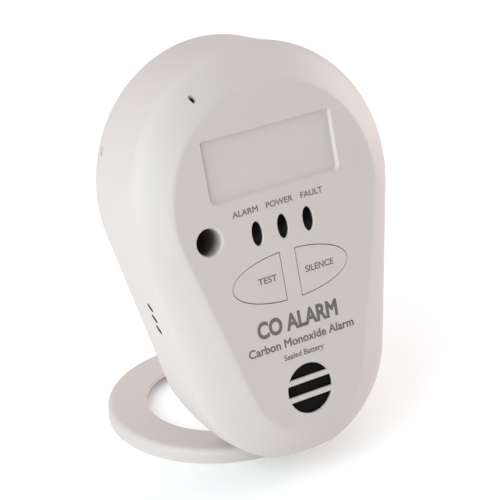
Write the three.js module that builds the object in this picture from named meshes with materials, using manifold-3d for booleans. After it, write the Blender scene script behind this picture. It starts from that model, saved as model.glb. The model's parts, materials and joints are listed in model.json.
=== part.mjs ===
// Carbon monoxide alarm with a fold-out stand ring, standing on a table.
//
// Two frames are used, both in millimetres.
// Case frame: x to the right, y up the front face, depth measured back from the
// face. Its origin is the middle indicator lens. three.js z is minus the depth.
// Stand frame: level with the table, x along the hinge pin, y to the rear, z up.
// The finished part stands on z = 0, centred on the origin, with +Z up.
import * as THREE from "three";
import { ConvexGeometry } from "three/addons/geometries/ConvexGeometry.js";
import { mergeVertices } from "three/addons/utils/BufferGeometryUtils.js";
import Module from "manifold-3d";

const wasm = await Module();
wasm.setup();

// ---- Driving dimensions -------------------------------------------------
const LEAN = THREE.MathUtils.degToRad(12.6);
const CASE_DEPTH = 30.8;
const BEVEL_DEPTH = 9.2;
const CASE_FOOT_Y = -66.8;
const WALL = 2.0;
const GAP = 0.3;

// Each case outline is the hull of a large upper and a small lower circle.
const FACE = { topY: 8.2, topR: 32.3, footY: -41.2, footR: 18.6 };
const WAIST = { topY: 10.05, topR: 41.2, footY: -37.0, footR: 31.75 };
const REAR = { topY: 12.3, topR: 39.8, footY: -34.6, footR: 30.0 };

const WINDOW = { width: 41.9, low: 10.7, high: 28.7, deep: 1.0, corner: 1.7 };
const LENS = { pitch: 8.26, halfWidth: 1.68, halfHeight: 3.5, length: 3.2 };
const BUTTON = { y: -13.8, halfWidth: 18.9, halfHeight: 7.1, halfStrip: 2.34 };
const GRILLE = { y: -47.4, radius: 7.3, barHeight: 1.5, bars: [2.9, -2.0], skin: 0.9, pocket: 9.7 };
const WELL = { x: -23.1, y: 1.4, mouth: 3.8, floor: 3.2, deep: 14.0 };
const LATCH = { x: -19.2, y: 40.0, length: 2.4, width: 1.2, turn: -1.1, floor: 4.3 };
const VENT = { count: 3, pitch: 3.4, firstY: -15.7, depth: 16.6, length: 3.0, width: 1.4, tilt: 0.74 };
const NICK = { x: 36.7, y: 28.0, depth: 28.1, length: 2.8, width: 1.4, deep: 0.35 };

const BOARD = { front: 9.0, rear: 10.6 };
const BOARD_OUTLINE = { topY: 7.0, topR: 33.5, footY: -10.0, footR: 30.0 };
const BOARD_FOOT_Y = -31.0;
const REAR_COVER = { front: 28.8, rear: CASE_DEPTH };

const RING = { outer: 35.2, inner: 23.3, height: 4.5, plate: 1.6, skirt: 1.9, centre: 23.6 };
const HINGE = { behind: 2.8, belowTop: 2.2, pin: 1.0, lug: 1.9, lugX: 11.95, lugWidth: 4.3 };
const SEAT_GAP = 0.85;         // from the ring's top up to the rear edge of the case

const BOARD_SCREWS = [[28, 8], [-28, 14], [0, -27.5]];
const CASE_SCREWS = [[0, 45], [18, -47], [-18, -47]];
const KEYHOLE = { x: 16, y: 35.5, head: 3.9, slot: 2.1, rise: 6.0 };
const SENSOR = { x: 12, y: -16, radius: 9.5 };
const BATTERY = { y: 20, length: 45, radius: 8.2, depth: 20.3 };
const SOUNDER = { radius: 12.5, front: 4.3, rear: 12.6 };
const LABEL = { y: 8, width: 44, height: 26, recess: 0.9 };

// ---- Solids -------------------------------------------------------------
function solid(geometry) {
  const bare = geometry.clone();
  bare.deleteAttribute("normal");
  bare.deleteAttribute("uv");
  const merged = mergeVertices(bare, 1e-4);
  const mesh = new wasm.Mesh({
    numProp: 3,
    vertProperties: new Float32Array(merged.attributes.position.array),
    triVerts: new Uint32Array(merged.index.array),
  });
  return new wasm.Manifold(mesh);
}

function geometryOf(body) {
  const mesh = body.getMesh();
  const geometry = new THREE.BufferGeometry();
  geometry.setAttribute("position", new THREE.BufferAttribute(mesh.vertProperties, 3));
  geometry.setIndex(new THREE.BufferAttribute(mesh.triVerts, 1));
  geometry.computeVertexNormals();
  return geometry;
}

// A round bar along the depth, from one depth to a larger one.
function bar(x, y, radius, front, rear, sides = 20, rearRadius = radius) {
  const geometry = new THREE.CylinderGeometry(radius, rearRadius, rear - front, sides);
  geometry.rotateX(Math.PI / 2);
  geometry.translate(x, y, -(front + rear) / 2);
  return solid(geometry);
}

// A rectangular block centred on x, y between two depths.
function block(x, y, width, height, front, rear, turn = 0) {
  const geometry = new THREE.BoxGeometry(width, height, rear - front);
  geometry.rotateZ(turn);
  geometry.translate(x, y, -(front + rear) / 2);
  return solid(geometry);
}

// A flat outline extruded between two depths.
function plate(shape, front, rear, curveSegments = 12) {
  const options = { depth: rear - front, bevelEnabled: false, curveSegments };
  const geometry = new THREE.ExtrudeGeometry(shape, options);
  geometry.translate(0, 0, -rear);
  return solid(geometry);
}

// A profile of [radius, depth] pairs turned about an axis along the depth.
function turned(x, y, profile, sides = 20) {
  const points = profile.map(([radius, depth]) => new THREE.Vector2(radius, -depth));
  if (THREE.ShapeUtils.area(points) < 0) {
    points.reverse();
  }
  const geometry = new THREE.LatheGeometry(points, sides);
  geometry.rotateX(Math.PI / 2);
  geometry.translate(x, y, 0);
  return solid(geometry);
}

function roundedRectangle(x, y, width, height, radius) {
  const left = x - width / 2;
  const right = x + width / 2;
  const low = y - height / 2;
  const high = y + height / 2;
  const shape = new THREE.Shape();
  shape.moveTo(left + radius, low);
  shape.lineTo(right - radius, low);
  shape.absarc(right - radius, low + radius, radius, -Math.PI / 2, 0);
  shape.lineTo(right, high - radius);
  shape.absarc(right - radius, high - radius, radius, 0, Math.PI / 2);
  shape.lineTo(left + radius, high);
  shape.absarc(left + radius, high - radius, radius, Math.PI / 2, Math.PI);
  shape.lineTo(left, low + radius);
  shape.absarc(left + radius, low + radius, radius, Math.PI, Math.PI * 1.5);
  return shape;
}

// ---- Case outlines ------------------------------------------------------
function blend(from, to, weight) {
  const mixed = {};
  for (const key of Object.keys(from)) {
    mixed[key] = from[key] + (to[key] - from[key]) * weight;
  }
  return mixed;
}

// The bevel swells smoothly from the face to the waist, then tapers a little.
function outlineAt(depth) {
  if (depth <= BEVEL_DEPTH) {
    return blend(FACE, WAIST, Math.sin((Math.PI / 2) * (depth / BEVEL_DEPTH)));
  }
  const along = (depth - BEVEL_DEPTH) / (CASE_DEPTH - BEVEL_DEPTH);
  return blend(WAIST, REAR, along ** 2);
}

// Points round the hull of the two circles, moved in by an inset.
function outlinePoints(outline, inset = 0, topSteps = 24, footSteps = 14) {
  const { topY, topR, footY, footR } = outline;
  const slope = Math.asin((topR - footR) / (topY - footY));
  const points = [];
  for (let i = 0; i <= topSteps; i += 1) {
    const angle = -slope + (Math.PI + 2 * slope) * (i / topSteps);
    const reach = topR - inset;
    points.push(new THREE.Vector2(reach * Math.cos(angle), topY + reach * Math.sin(angle)));
  }
  for (let i = 0; i <= footSteps; i += 1) {
    const angle = Math.PI + slope + (Math.PI - 2 * slope) * (i / footSteps);
    const reach = footR - inset;
    points.push(new THREE.Vector2(reach * Math.cos(angle), footY + reach * Math.sin(angle)));
  }
  return points;
}

// The convex body of the case between two depths, moved in by an inset.
function caseBody(inset, depths) {
  const points = [];
  for (const depth of depths) {
    for (const point of outlinePoints(outlineAt(Math.max(0, depth)), inset)) {
      const y = Math.max(point.y, CASE_FOOT_Y + inset);
      points.push(new THREE.Vector3(point.x, y, -depth));
    }
  }
  return solid(new ConvexGeometry(points));
}

function insideOutline(outline, inset, floorY) {
  const points = outlinePoints(outline, inset);
  const lowest = Math.max(floorY, outline.footY - outline.footR + inset);
  return new THREE.Shape(points.map((p) => new THREE.Vector2(p.x, Math.max(p.y, lowest))));
}

// One half of the split oval of the two buttons. A positive grow makes it larger.
function buttonShape(side, grow) {
  const halfWidth = BUTTON.halfWidth + grow;
  const halfHeight = BUTTON.halfHeight + grow;
  const inner = BUTTON.halfStrip - grow;
  const limit = Math.acos(inner / halfWidth);
  const shape = new THREE.Shape();
  const steps = 20;
  for (let i = 0; i <= steps; i += 1) {
    const angle = -limit + (2 * limit * i) / steps;
    const x = side * halfWidth * Math.cos(angle);
    const y = BUTTON.y + halfHeight * Math.sin(angle);
    if (i === 0) {
      shape.moveTo(x, y);
    } else {
      shape.lineTo(x, y);
    }
  }
  shape.closePath();
  return shape;
}

function lensShape(x, shrink) {
  const shape = new THREE.Shape();
  shape.absellipse(x, 0, LENS.halfWidth - shrink, LENS.halfHeight - shrink, 0, Math.PI * 2);
  return shape;
}

// ---- The part and its two frames ---------------------------------------
const part = new THREE.Group();
const caseFrame = new THREE.Group();
const standFrame = new THREE.Group();
part.add(caseFrame, standFrame);
caseFrame.rotation.x = Math.PI / 2 - LEAN;

// Where the hinge pin is in the case frame: just behind and below the rear edge.
const rearEdgeY = REAR.footY - REAR.footR;
const hingeRise = HINGE.belowTop + SEAT_GAP;
const hingeDrop = (hingeRise - HINGE.behind * Math.sin(LEAN)) / Math.cos(LEAN);
const hingeY = rearEdgeY - hingeDrop;
const hingeDepth = CASE_DEPTH + HINGE.behind;
standFrame.position.set(
  0,
  hingeY * Math.sin(LEAN) + hingeDepth * Math.cos(LEAN),
  hingeY * Math.cos(LEAN) - hingeDepth * Math.sin(LEAN),
);

function add(frame, name, body, colour, roughness, metalness = 0) {
  const material = new THREE.MeshStandardMaterial({ color: colour, roughness, metalness });
  const mesh = new THREE.Mesh(geometryOf(body), material);
  mesh.name = name;
  frame.add(mesh);
}

const SHELL_WHITE = 0xe9e5df;
const SMOKE = 0x121212;
const BOARD_GREEN = 0x2c5a3c;
const STEEL = 0xb9bcc0;
const FOAM = 0x2b2b2d;

// ---- Front cover: face, bevel and side wall in one moulding --------------
function frontCover() {
  const outerDepths = [0, 1.2, 2.8, 4.8, 7.0, BEVEL_DEPTH, 18, 25, CASE_DEPTH];
  const innerDepths = [WALL, 4.0, 6.5, BEVEL_DEPTH, 20, CASE_DEPTH + 2];
  const outer = caseBody(0, outerDepths);
  let shell = outer.subtract(caseBody(WALL, innerDepths));

  let bosses = bar(WELL.x, WELL.y, 5.4, 1, WELL.deep + 1.6, 28, 4.9);
  for (const [x, y] of BOARD_SCREWS) {
    bosses = bosses.add(bar(x, y, 2.7, 1, BOARD.front - GAP));
  }
  for (const [x, y] of CASE_SCREWS) {
    bosses = bosses.add(bar(x, y, 2.9, 1, REAR_COVER.front - GAP));
  }
  shell = shell.add(bosses.intersect(outer));
  for (const [x, y] of BOARD_SCREWS) {
    shell = shell.subtract(bar(x, y, 1.3, 3.5, BOARD.front, 16));
  }
  for (const [x, y] of CASE_SCREWS) {
    shell = shell.subtract(bar(x, y, 1.3, 14, REAR_COVER.front, 16));
  }

  // Blank window recess, lens holes, button openings and the screw well.
  const windowY = (WINDOW.low + WINDOW.high) / 2;
  const windowHeight = WINDOW.high - WINDOW.low;
  const recess = roundedRectangle(0, windowY, WINDOW.width, windowHeight, WINDOW.corner);
  shell = shell.subtract(plate(recess, -1, WINDOW.deep, 5));
  for (const side of [-1, 0, 1]) {
    shell = shell.subtract(plate(lensShape(side * LENS.pitch, 0), -1, WALL + 1, 10));
  }
  for (const side of [-1, 1]) {
    shell = shell.subtract(plate(buttonShape(side, 0), -1, WALL + 1));
  }
  shell = shell.subtract(bar(WELL.x, WELL.y, WELL.mouth, 0.5, WELL.deep, 28, WELL.floor));
  shell = shell.subtract(bar(WELL.x, WELL.y, WELL.mouth + 0.9, -0.5, 0.9, 28, WELL.mouth - 0.25));
  shell = shell.subtract(bar(WELL.x, WELL.y, 1.5, WELL.deep - 1, WELL.deep + 3, 16));

  // Round sounder grille crossed by two flush bars, in a thinner patch of wall.
  let grille = bar(0, GRILLE.y, GRILLE.radius, -1, WALL + 1, 36);
  for (const offset of GRILLE.bars) {
    grille = grille.subtract(block(0, GRILLE.y + offset, 20, GRILLE.barHeight, -2, 6));
  }
  shell = shell.subtract(grille);
  shell = shell.subtract(bar(0, GRILLE.y, GRILLE.pocket, GRILLE.skin, WALL + 1, 40));

  // Blind latch slot in the upper bevel, slanted vents in both side walls and a small
  // moulded nick in each side near the rear edge.
  const { x: latchX, y: latchY, length, width, floor } = LATCH;
  shell = shell.subtract(block(latchX, latchY, length, width, -1, floor, LATCH.turn));
  for (const side of [-1, 1]) {
    for (let i = 0; i < VENT.count; i += 1) {
      const slot = new THREE.BoxGeometry(14, VENT.length, VENT.width);
      slot.rotateX(-VENT.tilt);
      slot.translate(side * 36, VENT.firstY - i * VENT.pitch, -VENT.depth);
      shell = shell.subtract(solid(slot));
    }
    const turn = Math.atan2(NICK.y - REAR.topY, side * NICK.x);
    const front = NICK.depth - NICK.width / 2;
    const rear = NICK.depth + NICK.width / 2;
    const nick = block(side * NICK.x, NICK.y, NICK.deep * 2, NICK.length, front, rear, turn);
    shell = shell.subtract(nick);
  }
  return shell;
}
add(caseFrame, "front_cover", frontCover(), SHELL_WHITE, 0.5);

// ---- Rear cover: an inset plate with keyholes and the hinge lugs ---------
// The lug runs from its root on the plate, behind the rim of the front cover, down
// to a round eye on the hinge pin.
const LUG_ROOT = { low: -57.4, high: -49.0, rear: CASE_DEPTH + 0.2 };

function hingeLug(side) {
  const points = [];
  for (const edge of [-0.5, 0.5]) {
    const x = side * HINGE.lugX + edge * HINGE.lugWidth;
    for (let i = 0; i < 20; i += 1) {
      const angle = (i / 20) * Math.PI * 2;
      const y = hingeY + HINGE.lug * Math.cos(angle);
      const depth = hingeDepth + HINGE.lug * Math.sin(angle);
      points.push(new THREE.Vector3(x, y, -depth));
    }
    points.push(new THREE.Vector3(x, LUG_ROOT.low, -LUG_ROOT.rear));
    points.push(new THREE.Vector3(x, LUG_ROOT.high, -LUG_ROOT.rear));
  }
  const rootY = (LUG_ROOT.low + LUG_ROOT.high) / 2;
  const rootHeight = LUG_ROOT.high - LUG_ROOT.low;
  const x = side * HINGE.lugX;
  const root = block(x, rootY, HINGE.lugWidth, rootHeight, CASE_DEPTH - 0.6, LUG_ROOT.rear + 0.1);
  return solid(new ConvexGeometry(points)).add(root);
}

function pinHole(radius, halfLength) {
  const geometry = new THREE.CylinderGeometry(radius, radius, halfLength * 2, 20);
  geometry.rotateZ(Math.PI / 2);
  return geometry;
}

function keyhole(side) {
  const x = side * KEYHOLE.x;
  const from = REAR_COVER.front - 1;
  const to = REAR_COVER.rear + 1;
  const head = bar(x, KEYHOLE.y, KEYHOLE.head, from, to, 28);
  const slot = block(x, KEYHOLE.y + KEYHOLE.rise / 2, KEYHOLE.slot * 2, KEYHOLE.rise, from, to);
  const end = bar(x, KEYHOLE.y + KEYHOLE.rise, KEYHOLE.slot, from, to, 20);
  return head.add(slot).add(end);
}

function rearCover() {
  const inset = WALL + GAP;
  const outline = insideOutline(REAR, inset, CASE_FOOT_Y);
  const rimInside = insideOutline(REAR, inset + 1.4, CASE_FOOT_Y);
  let cover = plate(outline, REAR_COVER.front - 2, REAR_COVER.rear);
  cover = cover.subtract(plate(rimInside, REAR_COVER.front - 4, REAR_COVER.front));
  for (const [x, y] of CASE_SCREWS) {
    cover = cover.subtract(bar(x, y, 3.4, REAR_COVER.front - 4, REAR_COVER.front, 24));
  }
  cover = cover.add(bar(WELL.x, WELL.y, 3.2, WELL.deep + 3.2, REAR_COVER.front + 0.5));
  cover = cover.subtract(bar(WELL.x, WELL.y, 1.3, WELL.deep + 1, 24, 16));
  for (const side of [-1, 1]) {
    cover = cover.add(hingeLug(side));
    cover = cover.subtract(keyhole(side));
  }
  const bore = pinHole(HINGE.pin + GAP, 20);
  bore.translate(0, hingeY, -hingeDepth);
  cover = cover.subtract(solid(bore));
  for (const [x, y] of CASE_SCREWS) {
    cover = cover.subtract(bar(x, y, 1.4, REAR_COVER.front - 1, REAR_COVER.rear + 1, 16));
    cover = cover.subtract(bar(x, y, 3.0, REAR_COVER.rear - 1.1, REAR_COVER.rear + 1));
  }
  const recess = roundedRectangle(0, LABEL.y, LABEL.width + 0.8, LABEL.height + 0.8, 2);
  cover = cover.subtract(plate(recess, CASE_DEPTH - LABEL.recess, CASE_DEPTH + 1, 4));
  for (let i = 0; i < 4; i += 1) {
    const y = SENSOR.y - 6 + i * 4;
    cover = cover.subtract(block(SENSOR.x, y, 14, 1.6, REAR_COVER.front - 3, CASE_DEPTH + 1));
  }
  return cover;
}
add(caseFrame, "rear_cover", rearCover(), SHELL_WHITE, 0.55);

// ---- Stand ring, folding on one steel pin --------------------------------
function standRing() {
  const top = HINGE.belowTop;
  const bottom = top - RING.height;
  const round = RING.skirt;
  const profile = [
    new THREE.Vector2(RING.inner, top - RING.plate),
    new THREE.Vector2(RING.inner, top - 0.3),
    new THREE.Vector2(RING.inner + 0.3, top),
  ];
  for (let i = 0; i <= 5; i += 1) {
    const angle = (Math.PI / 2) * (1 - i / 5);
    const r = RING.outer - round + round * Math.cos(angle);
    profile.push(new THREE.Vector2(r, top - round + round * Math.sin(angle)));
  }
  profile.push(new THREE.Vector2(RING.outer, bottom));
  profile.push(new THREE.Vector2(RING.outer - RING.skirt, bottom));
  profile.push(new THREE.Vector2(RING.outer - RING.skirt, top - RING.plate));
  profile.push(profile[0].clone());
  const lathe = new THREE.LatheGeometry(profile.reverse(), 60);
  lathe.rotateX(Math.PI / 2);
  lathe.translate(0, RING.centre, 0);
  let ring = solid(lathe);

  // Three knuckles under the plate carry the pin, with a lug between each pair.
  const notchInner = HINGE.lugX - HINGE.lugWidth / 2 - GAP;
  const notchOuter = HINGE.lugX + HINGE.lugWidth / 2 + GAP;
  const knuckleEnd = notchOuter + 4;
  const knuckleFloor = bottom + GAP;
  const boss = new THREE.BoxGeometry(knuckleEnd * 2, 5.0, top - knuckleFloor);
  boss.translate(0, -0.2, (top + knuckleFloor) / 2);
  ring = ring.add(solid(boss));
  for (const side of [-1, 1]) {
    const notch = new THREE.BoxGeometry(notchOuter - notchInner, 11.5, 10);
    notch.translate(side * HINGE.lugX, 3.2, 0);
    ring = ring.subtract(solid(notch));
  }
  return ring.subtract(solid(pinHole(HINGE.pin + GAP, knuckleEnd - 1.2)));
}
add(standFrame, "stand_ring", standRing(), SHELL_WHITE, 0.5);

const pinHalfLength = HINGE.lugX + HINGE.lugWidth / 2 + GAP + 2.4;
add(standFrame, "hinge_pin", solid(pinHole(HINGE.pin, pinHalfLength)), STEEL, 0.3, 1);

// ---- Buttons, their plungers and the switches under them -----------------
const SWITCH = { x: 10.5, front: 7.0, size: 6.0 };

function button(side) {
  const flangeFront = WALL + GAP;
  const cap = plate(buttonShape(side, -GAP), 0, flangeFront + 0.2);
  const flange = plate(buttonShape(side, 0.7), flangeFront, flangeFront + 0.9);
  const stem = bar(side * SWITCH.x, BUTTON.y, 1.8, flangeFront, 6.0);
  return cap.add(flange).add(stem);
}

function tactSwitch(side) {
  const x = side * SWITCH.x;
  const size = SWITCH.size;
  const body = block(x, BUTTON.y, size, size, SWITCH.front, BOARD.front - GAP);
  return body.subtract(bar(x, BUTTON.y, 1.8, SWITCH.front - 1, BOARD.front + 1));
}

for (const [name, side] of [["test", -1], ["silence", 1]]) {
  const x = side * SWITCH.x;
  add(caseFrame, `${name}_button`, button(side), SHELL_WHITE, 0.5);
  add(caseFrame, `${name}_plunger`, bar(x, BUTTON.y, 1.5, 6.3, 7.6), 0x1c1c1e, 0.5);
  add(caseFrame, `${name}_switch`, tactSwitch(side), 0x4a4c50, 0.4, 0.6);
}

// ---- Indicator lenses with an LED behind each ----------------------------
function led(x) {
  const profile = [[0, 4.0], [0.6, 4.15], [1.1, 4.6], [1.3, 5.3], [1.3, 7.6], [1.6, 7.6]];
  return turned(x, 0, [...profile, [1.6, 8.7], [0, 8.7]], 20);
}

for (const [name, side, colour] of [["alarm", -1, 0xb03028], ["power", 0, 0x4f9a50],
  ["fault", 1, 0xc9a23a]]) {
  const x = side * LENS.pitch;
  add(caseFrame, `${name}_lens`, plate(lensShape(x, GAP), 0.1, LENS.length, 10), SMOKE, 0.12);
  add(caseFrame, `${name}_led`, led(x), colour, 0.2);
}

// ---- Sounder stack behind the grille -------------------------------------
const gauzeFront = GRILLE.skin + GAP;
const gauze = bar(0, GRILLE.y, GRILLE.pocket - GAP, gauzeFront, gauzeFront + 0.4, 32);
add(caseFrame, "grille_gauze", gauze, SMOKE, 0.9);

const gasketFront = WALL + GAP;
const gasketProfile = [[8.0, gasketFront], [11.0, gasketFront], [11.0, 4.0], [8.0, 4.0],
  [8.0, gasketFront]];
add(caseFrame, "sounder_gasket", turned(0, GRILLE.y, gasketProfile, 32), FOAM, 0.95);

// The sounder is a round resonator cup with a sound hole, round a brass disc.
function sounderCup() {
  const { radius, front, rear } = SOUNDER;
  const inside = radius - 1.3;
  const profile = [[2.2, front], [radius, front], [radius, rear], [inside, rear]];
  return turned(0, GRILLE.y, [...profile, [inside, front + 1.2], [2.2, front + 1.2],
    [2.2, front]], 36);
}
add(caseFrame, "sounder", sounderCup(), 0x1d1d1f, 0.55);
add(caseFrame, "sounder_disc", bar(0, GRILLE.y, SOUNDER.radius - 1.6, 9.6, 10.2, 36), 0xb5933c,
  0.35, 1);

// ---- Circuit board and the pieces on it ----------------------------------
function mainBoard() {
  let board = plate(insideOutline(BOARD_OUTLINE, 0, BOARD_FOOT_Y), BOARD.front, BOARD.rear);
  board = board.subtract(bar(WELL.x, WELL.y, 5.6, 0, 14, 28));
  for (const [x, y] of BOARD_SCREWS) {
    board = board.subtract(bar(x, y, 1.4, 0, 14, 16));
  }
  return board;
}
add(caseFrame, "main_board", mainBoard(), BOARD_GREEN, 0.45);

const onBoard = BOARD.rear + GAP;

function gasCell() {
  const r = SENSOR.radius;
  return turned(SENSOR.x, SENSOR.y, [[0, onBoard], [r - 0.6, onBoard], [r, onBoard + 0.6],
    [r, 22], [r - 1.2, 22.8], [r - 1.2, 25.6], [r - 1.8, 26.2], [1.2, 26.2], [1.2, 25.2],
    [0, 25.2]], 32);
}
add(caseFrame, "co_sensor", gasCell(), 0xd8d9d6, 0.45);

const sealProfile = [[4.0, 26.5], [7.2, 26.5], [7.2, 28.5], [4.0, 28.5], [4.0, 26.5]];
add(caseFrame, "sensor_gasket", turned(SENSOR.x, SENSOR.y, sealProfile, 28), FOAM, 0.95);

function batteryCell() {
  const half = BATTERY.length / 2;
  const r = BATTERY.radius;
  const outline = [[0, -half], [r - 0.6, -half], [r, -half + 0.6], [r, half - 0.6]];
  const rest = [[r - 0.6, half], [0, half]];
  const points = [...outline, ...rest].map(([radius, x]) => new THREE.Vector2(radius, x));
  const geometry = new THREE.LatheGeometry(points, 32);
  geometry.rotateZ(Math.PI / 2);
  geometry.translate(0, BATTERY.y, -BATTERY.depth);
  return solid(geometry);
}
add(caseFrame, "battery", batteryCell(), 0x3d6fa8, 0.4);
add(caseFrame, "battery_pad", block(0, BATTERY.y, 30, 8, onBoard, 11.8), FOAM, 0.95);

for (const [name, side] of [["left", -1], ["right", 1]]) {
  const x = side * (BATTERY.length / 2 + 0.6);
  const tab = block(x, BATTERY.y, 0.6, 4.5, onBoard, BATTERY.depth + 1);
  add(caseFrame, `battery_tab_${name}`, tab, STEEL, 0.35, 1);
}

add(caseFrame, "microcontroller", block(-11, -12, 8, 8, onBoard, 12.2), 0x1a1a1c, 0.5);
add(caseFrame, "capacitor", bar(-9, -24, 3.2, onBoard, 20.5), 0x24324f, 0.35);

function boostCoil() {
  const profile = [[0, onBoard], [4.4, onBoard], [4.4, 12.1], [3.2, 12.6], [3.2, 17.4]];
  return turned(-20, -16, [...profile, [4.4, 17.9], [4.4, 19.0], [0, 19.0]]);
}
add(caseFrame, "boost_coil", boostCoil(), 0x8a4b26, 0.5, 0.3);

// Each lead leaves the sounder, loops up and lands on the board.
for (const [name, side, colour] of [["red", -1, 0xa82a22], ["black", 1, 0x18181a]]) {
  const route = new THREE.CatmullRomCurve3([
    new THREE.Vector3(side * 3.0, -40.5, -10.6),
    new THREE.Vector3(side * 3.2, -40.0, -13.4),
    new THREE.Vector3(side * 4.2, -35.0, -14.8),
    new THREE.Vector3(side * 5.0, -30.2, -13.6),
    new THREE.Vector3(side * 5.0, -29.4, -(onBoard + 0.1)),
  ]);
  const section = new THREE.Shape();
  section.absarc(0, 0, 0.6, 0, Math.PI * 2);
  const options = { steps: 14, curveSegments: 4, bevelEnabled: false, extrudePath: route };
  const lead = solid(new THREE.ExtrudeGeometry(section, options));
  add(caseFrame, `sounder_lead_${name}`, lead, colour, 0.5);
}

// ---- Screws --------------------------------------------------------------
// A pan-head screw with a cross recess. Depths run from the head to the tip.
function screw(x, y, headDepth, seatDepth, tipDepth) {
  const towards = Math.sign(tipDepth - headDepth);
  const crown = headDepth + 0.3 * towards;
  const point = tipDepth - 1.0 * towards;
  const profile = [[0, headDepth], [1.8, headDepth], [2.5, crown], [2.5, seatDepth],
    [1.0, seatDepth], [1.0, point], [0, tipDepth]];
  let body = turned(x, y, profile, 16);
  const low = Math.min(headDepth - 1 * towards, headDepth + 0.8 * towards);
  const high = Math.max(headDepth - 1 * towards, headDepth + 0.8 * towards);
  for (const turn of [0.3, 0.3 + Math.PI / 2]) {
    body = body.subtract(block(x, y, 2.8, 0.6, low, high, turn));
  }
  return body;
}

BOARD_SCREWS.forEach(([x, y], i) => {
  const seat = BOARD.rear + GAP;
  add(caseFrame, `board_screw_${i + 1}`, screw(x, y, seat + 1.5, seat, 4.5), STEEL, 0.3, 1);
});
CASE_SCREWS.forEach(([x, y], i) => {
  const seat = REAR_COVER.rear - 1.1 + GAP;
  add(caseFrame, `case_screw_${i + 1}`, screw(x, y, seat + 0.6, seat, 16), STEEL, 0.3, 1);
});
const wellSeat = WELL.deep - GAP;
add(caseFrame, "well_screw", screw(WELL.x, WELL.y, wellSeat - 1.5, wellSeat, 21), STEEL, 0.3, 1);

// ---- Rating label in its recess on the rear cover ------------------------
const labelShape = roundedRectangle(0, LABEL.y, LABEL.width, LABEL.height, 1.6);
const labelFront = CASE_DEPTH - LABEL.recess + GAP;
add(caseFrame, "rear_label", plate(labelShape, labelFront, labelFront + 0.3, 4), 0xdedfe0, 0.4);

// ---- Stand the part on z = 0 with its box centred on the origin ----------
part.updateMatrixWorld(true);
const box = new THREE.Box3().setFromObject(part, true);
const centre = box.getCenter(new THREE.Vector3());
part.position.set(-centre.x, -centre.y, -box.min.z);

export default part;
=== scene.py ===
import json
import math

import bmesh
import bpy
from mathutils import Matrix, Vector


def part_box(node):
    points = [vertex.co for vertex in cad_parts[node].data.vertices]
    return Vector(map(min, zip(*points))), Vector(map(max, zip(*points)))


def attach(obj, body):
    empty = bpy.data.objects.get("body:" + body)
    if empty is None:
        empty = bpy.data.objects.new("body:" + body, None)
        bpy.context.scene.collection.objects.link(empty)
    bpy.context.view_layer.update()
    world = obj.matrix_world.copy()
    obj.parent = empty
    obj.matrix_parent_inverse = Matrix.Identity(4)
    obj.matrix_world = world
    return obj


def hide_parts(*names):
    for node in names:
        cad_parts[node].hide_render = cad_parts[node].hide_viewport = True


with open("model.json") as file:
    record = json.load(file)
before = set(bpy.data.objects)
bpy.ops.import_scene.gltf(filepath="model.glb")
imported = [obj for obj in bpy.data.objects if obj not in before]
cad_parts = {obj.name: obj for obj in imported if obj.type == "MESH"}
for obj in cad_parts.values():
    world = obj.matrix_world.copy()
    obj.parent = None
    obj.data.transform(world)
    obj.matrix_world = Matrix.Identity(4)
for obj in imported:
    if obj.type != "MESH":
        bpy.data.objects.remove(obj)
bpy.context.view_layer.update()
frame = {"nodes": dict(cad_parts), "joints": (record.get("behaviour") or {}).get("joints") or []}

# ---- The leaning case ------------------------------------------------------
# The case leans back on its stand. Everything on it is placed in millimetres
# across, up and into the case, measured from the middle lamp on the front face.
MM = 0.001
joints = {joint["name"]: joint for joint in frame["joints"]}
right = Vector((1, 0, 0))
inward = Vector(joints["test_press"]["axis"]).normalized()
upward = right.cross(inward)
hinge_pin_at = Vector(joints["stand_fold"]["pos_m"])

CASE_DEPTH = 30.8
LENS_FRONT, LENS_REAR = 0.1, 3.2
lens_low, lens_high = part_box("power_lens")
lens_middle = (LENS_FRONT + LENS_REAR) / 2
case_origin = (lens_low + lens_high) / 2 - inward * lens_middle * MM


def at(x, y, depth):
    """A point of the case, in metres, from millimetres across, up and in."""
    return case_origin + (right * x + upward * y + inward * depth) * MM


def loft(rings, place=at, into=None, endless=False):
    """Rings joined in order into a closed skin, capped or led back to the first."""
    mesh = into or bmesh.new()
    loops = [[mesh.verts.new(place(*point)) for point in ring] for ring in rings]
    after = loops[1:] + loops[:1] if endless else loops[1:]
    made = []
    for near, far in zip(loops, after):
        for i in range(len(near)):
            j = (i + 1) % len(near)
            made.append(mesh.faces.new((near[i], near[j], far[j], far[i])))
    if not endless:
        made.append(mesh.faces.new(list(reversed(loops[0]))))
        made.append(mesh.faces.new(loops[-1]))
    bmesh.ops.recalc_face_normals(mesh, faces=made)
    return mesh


def piece(name, mesh):
    """A new object that holds a finished mesh."""
    data = bpy.data.meshes.new(name)
    mesh.to_mesh(data)
    mesh.free()
    made = bpy.data.objects.new(name, data)
    bpy.context.scene.collection.objects.link(made)
    return made


def settle(target):
    """Turns a piece's modifiers into plain mesh."""
    bpy.context.view_layer.update()
    shown = target.evaluated_get(bpy.context.evaluated_depsgraph_get())
    data = bpy.data.meshes.new_from_object(shown)
    target.modifiers.clear()
    target.data = data


def carve(target, cutter, operation="DIFFERENCE"):
    """Cuts a tool's shape out of a piece, or welds it on."""
    tool = piece("tool", cutter)
    cut = target.modifiers.new("cut", "BOOLEAN")
    cut.object = tool
    cut.operation = operation
    cut.solver = "EXACT"
    settle(target)
    bpy.data.objects.remove(tool)


def soften(target, angle=32.0):
    """Smooth shading that breaks at sharp edges and leaves level faces flat."""
    target.data.shade_smooth()
    target.data.set_sharp_from_angle(angle=math.radians(angle))
    for face in target.data.polygons:
        if abs(face.normal.dot(inward)) > 0.99995:
            face.use_smooth = False


def dress(target, material):
    """Gives a piece one material."""
    target.data.materials.clear()
    target.data.materials.append(material)


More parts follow.
